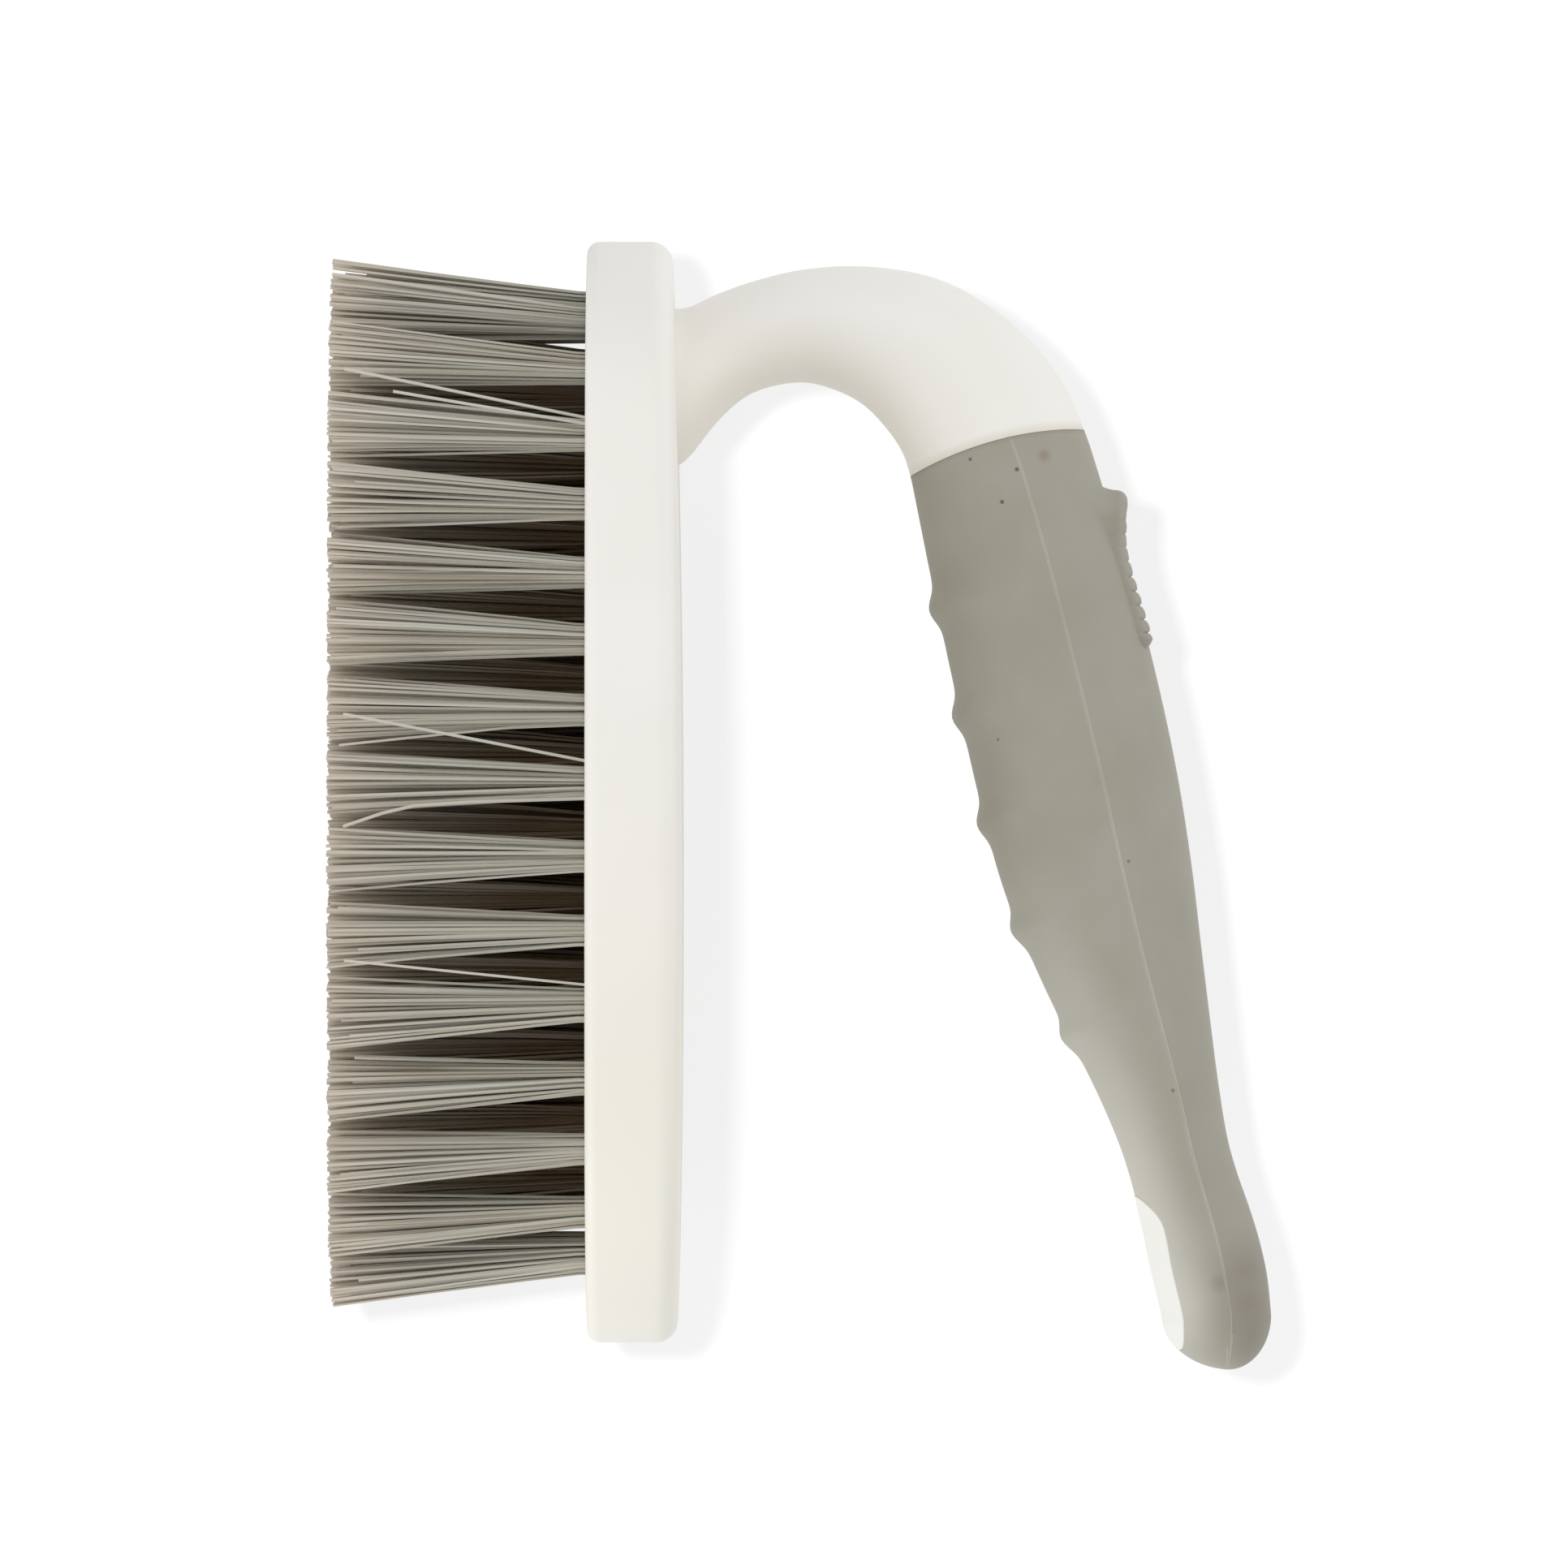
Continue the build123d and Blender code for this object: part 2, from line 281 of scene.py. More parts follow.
# the rubber meets the white arch on a dome, part of a cylinder across the brush
# both are raised past it by the overlap, and the start block takes off what the rubber has too much
joint = {
    "centre": (75.24, 55.32), "radius": 49.52, "gap": 0.04, "grimeAndShadeEnd": 45, "overlap": 7,
    "startMiddle": (27, 43), "startSize": (46, 50, 62),
}
jointCentre = onHandle(*joint["centre"])


def newGroup(name, inputs, outputs):
    # a node group whose inputs are numbers or places, and whose outputs are masks and values
    group = bpy.data.node_groups.new(name, "ShaderNodeTree")
    for title, value in inputs:
        kind = "NodeSocketVector" if isinstance(value, tuple) else "NodeSocketFloat"
        group.interface.new_socket(name=title, in_out="INPUT", socket_type=kind).default_value = value
    for title in outputs:
        group.interface.new_socket(name=title, in_out="OUTPUT", socket_type="NodeSocketFloat")
    return group, group.nodes.new("NodeGroupInput"), group.nodes.new("NodeGroupOutput")


def fadeNode(tree, low=0.0, high=1.0):
    # 1 up to the low value, then softly down to 0 at the high one
    values = {"From Min": low, "From Max": high, "To Min": 1.0, "To Max": 0.0}
    return addNode(tree, "MapRange", values, interpolation_type="SMOOTHSTEP")


def sidePlace(tree):
    # Object place with nothing across, so that a pattern runs through the whole depth of the brush
    place = addNode(tree, "TexCoord")
    flat = addNode(tree, "VectorMath", {1: (1, 0, 1)}, operation="MULTIPLY")
    link(tree, (place.outputs["Object"], flat.inputs[0]))
    return flat.outputs[0]


# fine moulded grain: a height for the bump and a slow mottle for the colour
grainGroup, start, end = newGroup("mouldGrain", [("Fine", 5000.0), ("Broad", 90.0)], ["Height", "Mottle"])
place = addNode(grainGroup, "TexCoord")
for scaleName, detail, roughness, label in (("Fine", 3.0, 0.6, "Height"), ("Broad", 2.0, 0.5, "Mottle")):
    noise = addNode(grainGroup, "TexNoise", {"Detail": detail, "Roughness": roughness})
    link(
        grainGroup, (place.outputs["Object"], noise.inputs["Vector"]),
        (start.outputs[scaleName], noise.inputs["Scale"]), (noise.outputs["Fac"], end.inputs[label]),
    )

# sparse specks of dust and nicks
speckGroup, start, end = newGroup("dustSpecks", [("Scale", 200.0), ("Size", 0.06), ("Share", 0.2)], ["Mask"])
place = addNode(speckGroup, "TexCoord")
cells = addNode(speckGroup, "TexVoronoi", feature="F1")
few = addNode(speckGroup, "Math", operation="LESS_THAN")
dot = addNode(speckGroup, "Math", operation="LESS_THAN")
hue = addNode(speckGroup, "SeparateColor")
mask = addNode(speckGroup, "Math", operation="MULTIPLY")
link(
    speckGroup, (place.outputs["Object"], cells.inputs["Vector"]), (start.outputs["Scale"], cells.inputs["Scale"]),
    (cells.outputs["Color"], hue.inputs[0]), (hue.outputs[0], few.inputs[0]), (start.outputs["Share"], few.inputs[1]),
    (cells.outputs["Distance"], dot.inputs[0]), (start.outputs["Size"], dot.inputs[1]),
    (few.outputs[0], mask.inputs[0]), (dot.outputs[0], mask.inputs[1]), (mask.outputs[0], end.inputs["Mask"]),
)

# soft grime and painted shade within a reach of the joint between arch and rubber
grimeAndShadeGroup, start, end = newGroup(
    "jointGrimeAndShade", [("Centre", tuple(jointCentre)), ("Radius", joint["radius"] * mm), ("Reach", 0.5 * mm)], ["Mask"]
)
place = addNode(grimeAndShadeGroup, "TexCoord")
away = addNode(grimeAndShadeGroup, "VectorMath", operation="DISTANCE")
past = addNode(grimeAndShadeGroup, "Math", operation="SUBTRACT")
size = addNode(grimeAndShadeGroup, "Math", operation="ABSOLUTE")
share = addNode(grimeAndShadeGroup, "Math", operation="DIVIDE")
fade = fadeNode(grimeAndShadeGroup)
parts = addNode(grimeAndShadeGroup, "SeparateXYZ")
near = addNode(grimeAndShadeGroup, "Math", {1: onHandle(joint["grimeAndShadeEnd"], 0).x}, operation="LESS_THAN")
mask = addNode(grimeAndShadeGroup, "Math", operation="MULTIPLY")
link(
    grimeAndShadeGroup, (sidePlace(grimeAndShadeGroup), away.inputs[0]), (start.outputs["Centre"], away.inputs[1]),
    (away.outputs["Value"], past.inputs[0]), (start.outputs["Radius"], past.inputs[1]),
    (past.outputs[0], size.inputs[0]), (size.outputs[0], share.inputs[0]), (start.outputs["Reach"], share.inputs[1]),
    (share.outputs[0], fade.inputs["Value"]), (place.outputs["Object"], parts.inputs[0]),
    (parts.outputs["X"], near.inputs[0]), (near.outputs[0], mask.inputs[0]), (fade.outputs[0], mask.inputs[1]),
    (mask.outputs[0], end.inputs["Mask"]),
)

# a soft round spot through the whole depth of the brush: full inside one radius, gone at the other
spotGroup, start, end = newGroup("softSpot", [("Place", (0.0, 0.0, 0.0)), ("Inner", 0.001), ("Outer", 0.01)], ["Mask"])
away = addNode(spotGroup, "VectorMath", operation="DISTANCE")
fade = fadeNode(spotGroup)
link(
    spotGroup, (sidePlace(spotGroup), away.inputs[0]), (start.outputs["Place"], away.inputs[1]),
    (away.outputs["Value"], fade.inputs["Value"]), (start.outputs["Inner"], fade.inputs["From Min"]),
    (start.outputs["Outer"], fade.inputs["From Max"]), (fade.outputs[0], end.inputs["Mask"]),
)


def useGroup(tree, group, **values):
    node = tree.nodes.new("ShaderNodeGroup")
    node.node_tree = group
    for name, value in values.items():
        node.inputs[name].default_value = value
    return node


def mixColours(tree, mask, first, second, amount=1.0):
    # second colour over the first where the mask is
    mix = addNode(tree, "Mix", data_type="RGBA")
    if amount != 1:
        scale = addNode(tree, "Math", {1: amount}, operation="MULTIPLY")
        link(tree, (mask, scale.inputs[0]))
        mask = scale.outputs[0]
    link(tree, (mask, mix.inputs[0]))
    for socket, colour in ((mix.inputs[6], first), (mix.inputs[7], second)):
        if isinstance(colour, tuple):
            socket.default_value = (*colour, 1)
        else:
            link(tree, (colour, socket))
    return mix.outputs[2]


def tintOver(material, mask, tint, amount=1.0):
    # lays a tint over the colour that the material has so far
    tree = material.node_tree
    ground = next(node for node in tree.nodes if node.type == "BSDF_PRINCIPLED").inputs["Base Color"]
    link(tree, (mixColours(tree, mask, ground.links[0].from_socket, tint, amount), ground))


def tintSpots(material, spots):
    for along, up, inner, outer, tint, amount in spots:
        spot = useGroup(material.node_tree, spotGroup, Place=onHandle(along, up), Inner=inner * mm, Outer=outer * mm)
        tintOver(material, spot.outputs["Mask"], tint, amount)


def mouldedPlastic(name, values):
    material, tree = newTree(name)
    shader = addNode(tree, "BsdfPrincipled", {"Specular IOR Level": values["gloss"]})
    out = addNode(tree, "OutputMaterial")
    grain = useGroup(tree, grainGroup, Fine=values["fine"], Broad=values["broad"])
    specks = useGroup(
        tree, speckGroup, Scale=values["speckScale"], Size=values["speckSize"], Share=values["speckShare"]
    )
    grimeAndShade = useGroup(tree, grimeAndShadeGroup, Reach=values["grimeAndShadeReach"] * mm)
    spread = addNode(tree, "MapRange", {"From Min": 0.3, "From Max": 0.7})
    link(tree, (grain.outputs["Mottle"], spread.inputs["Value"]))
    colour = mixColours(tree, spread.outputs[0], values["dark"], values["light"])
    # grime and painted shade darken the surface next to the joint
    colour = mixColours(tree, grimeAndShade.outputs["Mask"], colour, values["grimeAndShade"], values["grimeAndShadeAmount"])
    colour = mixColours(tree, specks.outputs["Mask"], colour, values["speck"], values["speckAmount"])
    rough = addNode(tree, "MapRange", {"To Min": values["roughness"] - 0.05, "To Max": values["roughness"] + 0.05})
    bump = addNode(tree, "Bump", {"Strength": values["bump"], "Distance": values["depth"] * mm})
    link(
        tree, (colour, shader.inputs["Base Color"]), (grain.outputs["Mottle"], rough.inputs["Value"]),
        (rough.outputs[0], shader.inputs["Roughness"]), (grain.outputs["Height"], bump.inputs["Height"]),
        (bump.outputs[0], shader.inputs["Normal"]), (shader.outputs[0], out.inputs["Surface"]),
    )
    return material


# depth is that of the grain in mm, reach that of the grime and painted shade at the joint
plasticLook = {
    "light": (0.865, 0.848, 0.805), "dark": (0.84, 0.822, 0.772), "grimeAndShade": (0.62, 0.58, 0.47),
    "grimeAndShadeAmount": 0.55, "grimeAndShadeReach": 1.6, "speck": (0.3, 0.26, 0.19), "speckAmount": 0.45, "speckScale": 160,
    "speckSize": 0.035, "speckShare": 0.08, "fine": 3500, "broad": 60, "bump": 0.25, "depth": 0.03,
    "roughness": 0.5, "gloss": 0.35,
}
rubberLook = {
    "light": (0.345, 0.326, 0.274), "dark": (0.315, 0.3, 0.246), "grimeAndShade": (0.24, 0.215, 0.165),
    "grimeAndShadeAmount": 0.45, "grimeAndShadeReach": 0.7, "speck": (0.1, 0.085, 0.06), "speckAmount": 0.6, "speckScale": 130,
    "speckSize": 0.035, "speckShare": 0.3, "fine": 2600, "broad": 110, "bump": 0.45, "depth": 0.05,
    "roughness": 0.62, "gloss": 0.45,
}
whitePlastic = mouldedPlastic("whitePlastic", plasticLook)
archPlastic = mouldedPlastic("archPlastic", plasticLook)
greyRubber = mouldedPlastic("greyRubber", rubberLook)
# the bead's rubber is a lighter copy of the grip's rubber: a painted highlight along the parting line
beadHighlightRubber = mouldedPlastic("beadHighlightRubber", rubberLook | {"light": (0.47, 0.445, 0.385), "dark": (0.42, 0.4, 0.34)})

# the finger side of the lower grip is painted paler, a painted highlight where light falls on it: across is measured
# square to its edge, both in mm
paintedLight = {
    "from": (88.7, 43.9), "square": (-0.35, 0.937), "across": (1.0, 11.0), "along": (72, 132),
    "tint": (0.52, 0.505, 0.45),
}
tree = greyRubber.node_tree
place = addNode(tree, "TexCoord")
offset = addNode(tree, "VectorMath", {1: onHandle(*paintedLight["from"])}, operation="SUBTRACT")
across = addNode(tree, "VectorMath", {1: (paintedLight["square"][0] / mm, 0, paintedLight["square"][1] / mm)}, operation="DOT_PRODUCT")
parts = addNode(tree, "SeparateXYZ")
acrossFade = fadeNode(tree, *paintedLight["across"])
ends = {"From Min": onHandle(paintedLight["along"][0], 0).x, "From Max": onHandle(paintedLight["along"][1], 0).x}
alongFade = addNode(tree, "MapRange", ends, interpolation_type="SMOOTHSTEP")
paintedLightMask = addNode(tree, "Math", operation="MULTIPLY")
link(
    tree, (place.outputs["Object"], offset.inputs[0]), (offset.outputs[0], across.inputs[0]),
    (across.outputs["Value"], acrossFade.inputs["Value"]), (place.outputs["Object"], parts.inputs[0]),
    (parts.outputs["X"], alongFade.inputs["Value"]), (acrossFade.outputs[0], paintedLightMask.inputs[0]),
    (alongFade.outputs[0], paintedLightMask.inputs[1]),
)
# painted highlight laid over the finger side of the lower grip
tintOver(greyRubber, paintedLightMask.outputs[0], paintedLight["tint"])

# spots: distance along and up the handle, full and faded radius in mm, colour, amount
tintSpots(archPlastic, [(33.5, 14.0, 12, 25, (0.79, 0.755, 0.665), 0.85)])  # painted shade, darker and warmer, inside the bend
# the block has yellowed a little towards the heel, and the window is a little greyer
tintSpots(whitePlastic, [
    (125.0, -6.5, 8, 60, (0.823, 0.806, 0.718), 0.9), (140.8, 63.0, 12, 18, (0.8, 0.798, 0.76), 0.9),
])
# painted shade round the tip, then stains and specks
tintSpots(greyRubber, [
    (142.0, 79.0, 2, 11, (0.24, 0.222, 0.182), 0.6), (149.0, 76.0, 1, 8, (0.24, 0.222, 0.175), 0.6),
    (152.5, 70.5, 1, 9.5, (0.3, 0.28, 0.225), 0.4),
    (29.4, 49.1, 0, 1.3, (0.2, 0.11, 0.07), 0.45), (141.6, 73.1, 0, 1.9, (0.17, 0.15, 0.09), 0.35),
    (139.8, 76.4, 0, 2.4, (0.25, 0.18, 0.14), 0.35), (144.2, 77.0, 0, 2.6, (0.25, 0.18, 0.15), 0.35),
    (29.9, 39.1, 0.1, 0.35, (0.06, 0.05, 0.035), 0.8), (31.3, 45.4, 0.12, 0.42, (0.06, 0.05, 0.035), 0.85),
    (35.7, 43.4, 0.12, 0.42, (0.06, 0.05, 0.035), 0.85),
])
# painted shade on the bead round the tip
tintSpots(beadHighlightRubber, [(147.0, 75.0, 2, 14, (0.33, 0.31, 0.25), 0.7)])

# nylon: each filament has its own tone and lightens towards its tip
# inside the field they are browner, partly their own colour and partly painted shade, and darker towards their roots,
# partly stain and partly painted shade
nylonLook = {
    "tones": [
        (0.0, (0.27, 0.21, 0.145)), (0.2, (0.37, 0.33, 0.26)), (0.5, (0.445, 0.425, 0.357)), (1.0, (0.53, 0.52, 0.453)),
    ],
    "roughness": 0.42, "inner": (0.3, 0.225, 0.145), "innerAmount": 0.55,
    "tip": (0.63, 0.55, 0.46), "tipAmount": 0.68, "tipStart": 0.6,
    "stainAndShade": (0.11, 0.068, 0.032), "stainAndShadeRun": (0.12, 0.95),
}
nylon, tree = newTree("bristleNylon")
shader = addNode(tree, "BsdfPrincipled", {"Roughness": nylonLook["roughness"]})
out = addNode(tree, "OutputMaterial")
tone = addNode(tree, "Attribute", attribute_name="tone")
run = addNode(tree, "Attribute", attribute_name="run")
shelter = addNode(tree, "Attribute", attribute_name="shelter")
ramp = addNode(tree, "ValToRGB")
while len(ramp.color_ramp.elements) < len(nylonLook["tones"]):
    ramp.color_ramp.elements.new(0.5)
for element, (at, colour) in zip(ramp.color_ramp.elements, nylonLook["tones"]):
    element.position = at
    element.color = (*colour, 1)
tipFade = addNode(tree, "MapRange", {"From Min": nylonLook["tipStart"]}, interpolation_type="SMOOTHSTEP")
rootFade = fadeNode(tree, *nylonLook["stainAndShadeRun"])
stainAndShade = addNode(tree, "Math", operation="MULTIPLY")
# sheltered tufts get a browner colour and painted shade, and their roots get stain and painted shade
colour = mixColours(tree, shelter.outputs["Fac"], ramp.outputs[0], nylonLook["inner"], nylonLook["innerAmount"])
colour = mixColours(tree, tipFade.outputs[0], colour, nylonLook["tip"], nylonLook["tipAmount"])
colour = mixColours(tree, stainAndShade.outputs[0], colour, nylonLook["stainAndShade"])
link(
    tree, (tone.outputs["Fac"], ramp.inputs[0]), (run.outputs["Fac"], tipFade.inputs["Value"]),
    (run.outputs["Fac"], rootFade.inputs["Value"]), (rootFade.outputs[0], stainAndShade.inputs[0]),
    (shelter.outputs["Fac"], stainAndShade.inputs[1]), (colour, shader.inputs["Base Color"]),
    (shader.outputs[0], out.inputs["Surface"]),
)

# brass staples: drawn wire with a slow tarnish
brassLook = {
    "light": (0.72, 0.56, 0.27), "dark": (0.55, 0.4, 0.19), "roughness": (0.25, 0.5), "fine": 9000.0, "broad": 400.0,
}
brass, tree = newTree("stapleBrass")
shader = addNode(tree, "BsdfPrincipled", {"Metallic": 1.0})
out = addNode(tree, "OutputMaterial")
grain = useGroup(tree, grainGroup, Fine=brassLook["fine"], Broad=brassLook["broad"])
rough = addNode(tree, "MapRange", {"To Min": brassLook["roughness"][0], "To Max": brassLook["roughness"][1]})
colour = mixColours(tree, grain.outputs["Mottle"], brassLook["light"], brassLook["dark"])
link(
    tree, (grain.outputs["Height"], rough.inputs["Value"]), (rough.outputs[0], shader.inputs["Roughness"]),
    (colour, shader.inputs["Base Color"]), (shader.outputs[0], out.inputs["Surface"]),
)
print("materials mixed")


def finish(piece, material, slotName, *nodes):
    if not piece.data.materials:
        piece.data.materials.append(material)
    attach(piece, "root")
    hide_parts(*nodes)


def halfOval(startX, endX, startRadius, endRadius, flankRadius):
    # one side of an oval of the block or a ring: centre, radius, first angle and sweep of its three arcs
    startCentre = startX + startRadius
    endCentre = endX - endRadius
    span = endCentre - startCentre
    toStart = flankRadius - startRadius
    toEnd = flankRadius - endRadius
    flankX = (span**2 + toStart**2 - toEnd**2) / (2 * span)
    flankY = math.sqrt(toStart**2 - flankX**2)
    startAngle = math.atan2(flankY, -flankX)
    endAngle = math.atan2(flankY, span - flankX)
    return [
        ((startCentre, 0), startRadius, math.pi, math.pi - startAngle),
        ((startCentre + flankX, -flankY), flankRadius, startAngle, startAngle - endAngle),
        ((endCentre, 0), endRadius, endAngle, endAngle),
    ]


block = {
    "noseRadius": 28.5, "heelRadius": 33, "sideRadius": 400, "thickness": 12.9,
    "topRound": 3.0, "topSteps": 8, "bottomRound": 1.7, "bottomSteps": 5,
    "crownX": 14, "crownRadius": 3000, "crownFrom": 8, "crownMost": 2, "crownRows": (-66, 67, 6),
    "arcSteps": (18, 30, 20),
    "boreWidth": 4.7, "boreDepth": 3.0, "boreSides": 14,
}

# the tufts stand in three rings and a row down the middle
field = {
    "noseMargin": 9.1, "heelMargin": 10.6, "noseRadius": 19.5, "heelRadius": 22.5, "flankRadius": 391,
    "ringGap": 8.0, "pitch": 9.7, "rowRange": (-2, 5),
    # the outer ring sits a little nearer the nose mid-way and at the heel's end
    "slide": 1.5, "slideMiddle": -4, "slideReach": 27, "heelSlide": 0.8, "heelStart": 62.5, "heelEnd": 64.4,
}


def ringTufts(inset):
    arcs = halfOval(
        -halfLength + field["noseMargin"] + inset, halfLength - field["heelMargin"] - inset,
        field["noseRadius"] - inset, field["heelRadius"] - inset, field["flankRadius"] - inset,
    )
    lengths = [radius * sweep for _, radius, _, sweep in arcs]
    steps = round(sum(lengths) / field["pitch"])
    places = []
    for i in range(steps + 1):
        rest = sum(lengths) * i / steps
        for (centre, radius, angle, sweep), length in zip(arcs, lengths):
            if rest <= length + 1e-9:
                angle -= sweep * rest / length
                x = centre[0] + radius * math.cos(angle)
                y = centre[1] + radius * math.sin(angle)
                if inset == 0:
                    heel = max(0, (x - field["heelStart"]) / (field["heelEnd"] - field["heelStart"]))
                    x -= field["slide"] * math.exp(-(((x - field["slideMiddle"]) / field["slideReach"]) ** 2))
                    x -= field["heelSlide"] * heel
                places.append((x, y))
                if 0 < i < steps:
                    places.append((x, -y))
                break
            rest -= length
    return places


outerTufts = ringTufts(0)
middleTufts = ringTufts(field["ringGap"])
innerTufts = ringTufts(2 * field["ringGap"])
rowTufts = [(field["pitch"] * i, 0) for i in range(*field["rowRange"])]
print("tufts:", len(outerTufts), len(middleTufts), len(innerTufts), len(rowTufts))

# block: the outline is spun from a point, raised, and rounded by insets
startPiece()
level = underside + block["bottomRound"] * mm
bpy.ops.mesh.primitive_plane_add(size=mm, location=(noseX, 0, level))
brushBlock = namePiece("brushBlock")
startEdit(brushBlock)
selectMesh()
bpy.ops.mesh.merge(type="CENTER")
blockArcs = halfOval(-halfLength, halfLength, block["noseRadius"], block["heelRadius"], block["sideRadius"])
turns = [(x, y, sweep, steps) for ((x, y), _, _, sweep), steps in zip(blockArcs, block["arcSteps"])]
turns += [(x, -y, sweep, steps) for x, y, sweep, steps in reversed(turns)]
for x, y, sweep, steps in turns:
    bpy.ops.mesh.spin(steps=steps, angle=sweep, center=(x * mm, y * mm, level), axis=(0, 0, 1))
selectMesh()
bpy.ops.mesh.remove_doubles(threshold=0.00001)
selectMesh()
bpy.ops.mesh.edge_face_add()
rise = (block["thickness"] - block["topRound"] - block["bottomRound"]) * mm
bpy.ops.mesh.extrude_region_move(TRANSFORM_OT_translate={"value": (0, 0, rise)})
selectMesh()
bpy.ops.mesh.normals_make_consistent(inside=False)


def roundFace(up, radius, steps):
    # quarter round of a flat end, by insets that also lift it
    pick(brushBlock, "faces", lambda face: face.normal.z * up > 0.9)
    for i in range(steps):
        low, high = math.pi / 2 * i / steps, math.pi / 2 * (i + 1) / steps
        inwards = radius * mm * (math.cos(low) - math.cos(high))
        lift = radius * mm * (math.sin(high) - math.sin(low))
        bpy.ops.mesh.inset(thickness=inwards, depth=lift, use_even_offset=True)


roundFace(1, block["topRound"], block["topSteps"])
roundFace(-1, block["bottomRound"], block["bottomSteps"])
topZ = blockTop - 0.02 * mm
for x in range(*block["crownRows"]):
    pick(brushBlock, "faces", lambda face: face.normal.z > 0.999 and face.calc_center_median().z > topZ)
    bpy.ops.mesh.bisect(plane_co=(x * mm, 0, 0), plane_no=(1, 0, 0))
endEdit()

# the crown lowers both ends of the top a little
crown = brushBlock.vertex_groups.new(name="crown")
for vertex in brushBlock.data.vertices:
    if vertex.co.z > underside + block["crownFrom"] * mm:
        drop = (vertex.co.x / mm - block["crownX"]) ** 2 / (2 * block["crownRadius"])
        crown.add([vertex.index], drop / block["crownMost"], "REPLACE")
applyModifier(
    brushBlock, "DISPLACE", direction="Z", strength=-block["crownMost"] * mm, mid_level=0, vertex_group="crown"
)
brushBlock.vertex_groups.clear()

# bores for the tufts, cut from below
startPiece()
for i, (x, y) in enumerate(outerTufts + middleTufts + innerTufts + rowTufts):
    bpy.ops.mesh.primitive_cylinder_add(
        vertices=block["boreSides"], radius=block["boreWidth"] / 2 * mm, depth=2 * block["boreDepth"] * mm,
        location=(x * mm, y * mm, underside),
    )
    if i == 0:
        boreCutters = namePiece("boreCutters")
        bpy.ops.object.mode_set(mode="EDIT")
endEdit()
cutWith(brushBlock, boreCutters, "DIFFERENCE")
remove(boreCutters)
smooth(brushBlock, 35)
finish(brushBlock, whitePlastic, "white_plastic", "brush_block", "bristles")
print("block rounded and bored")

# handle and grip share one line of stations: finger side (along, up), palm side (along, up), half depth,
# and the share of the breadth on the finger side of the widest line
handleLine = {
    "stations": [
        (31.2, -3.0, 8.7, -3.0, 11.9, 0.5),
        (30.4, 0.0, 9.2, 0.0, 11.3, 0.5),
        (24.3, 5.0, 7.2, 4.6, 10.4, 0.5),
        (20.7, 9.4, 5.4, 9.6, 10.0, 0.5),
        (19.2, 15.6, 3.7, 17.0, 9.9, 0.51),
        (20.0, 20.2, 3.4, 26.0, 10.2, 0.53),
        (22.0, 24.3, 5.4, 35.8, 10.9, 0.55),
        (25.0, 27.4, 11.0, 44.8, 11.7, 0.57),
        (28.4, 29.8, 18.0, 51.2, 12.3, 0.58),
        (31.8, 31.0, 25.4, 54.7, 12.7, 0.59),
        (36.6, 32.0, 31.4, 56.7, 12.9, 0.6),
        (45.6, 33.8, 40.4, 59.4, 13.2, 0.61),
        (58.9, 36.6, 53.4, 63.2, 13.4, 0.61),
        (75.4, 40.3, 70.0, 67.0, 13.3, 0.62),
        (88.7, 43.9, 84.0, 69.3, 12.6, 0.63),
        (102.0, 49.5, 98.2, 71.0, 11.0, 0.64),
        (113.5, 55.3, 111.2, 72.6, 9.3, 0.65),
        (118.5, 57.65, 116.9, 73.4, 8.7, 0.65),
        (123.5, 59.7, 122.6, 74.4, 8.4, 0.64),
        (127.2, 60.9, 127.1, 75.7, 8.4, 0.63),
        (131.0, 61.9, 131.6, 77.3, 8.6, 0.62),
        (135.4, 62.9, 136.2, 78.7, 8.9, 0.62),
        (139.8, 63.8, 140.8, 79.7, 9.2, 0.62),
        (146.0, 65.3, 146.6, 80.3, 8.9, 0.62),
    ],
    "jointStation": 9, "ringPoints": 48, "archGap": 1.6,
    "tipReach": 7.3, "tipAngles": (12, 24, 36, 47, 57, 66, 74, 81, 86.5), "tipEnd": 0.01,
}
stations = handleLine["stations"]
ringPoints = handleLine["ringPoints"]
milestones = [0.0]
for before, after in zip(stations, stations[1:]):
    stepAlong = (after[0] + after[2] - before[0] - before[2]) / 2
    stepUp = (after[1] + after[3] - before[1] - before[3]) / 2
    milestones.append(milestones[-1] + math.hypot(stepAlong, stepUp))
jointLength = milestones[handleLine["jointStation"]]


def stationAt(length):
    # smooth station at a length along the handle, in mm
    i = max(n for n in range(len(stations) - 1) if milestones[n] <= length + 1e-9)
    span = milestones[i + 1] - milestones[i]
    t = (length - milestones[i]) / span

    def slope(n, k):
        low, high = max(n - 1, 0), min(n + 1, len(stations) - 1)
        return (stations[high][k] - stations[low][k]) / (milestones[high] - milestones[low])

    numbers = []
    for k in range(6):
        start, end = stations[i][k], stations[i + 1][k]
        bend = (2 * t**3 - 3 * t**2 + 1) * start + (3 * t**2 - 2 * t**3) * end
        bend += span * ((t**3 - 2 * t**2 + t) * slope(i, k) + (t**3 - t**2) * slope(i + 1, k))
        numbers.append(bend)
    return numbers


def lengthAtFinger(along):
    # length along the handle, past the joint, where its finger side is this far from the nose
    low, high = jointLength, milestones[-1]
    for _ in range(40):
        middle = (low + high) / 2
        if stationAt(middle)[0] < along:
            low = middle
        else:
            high = middle
    return low


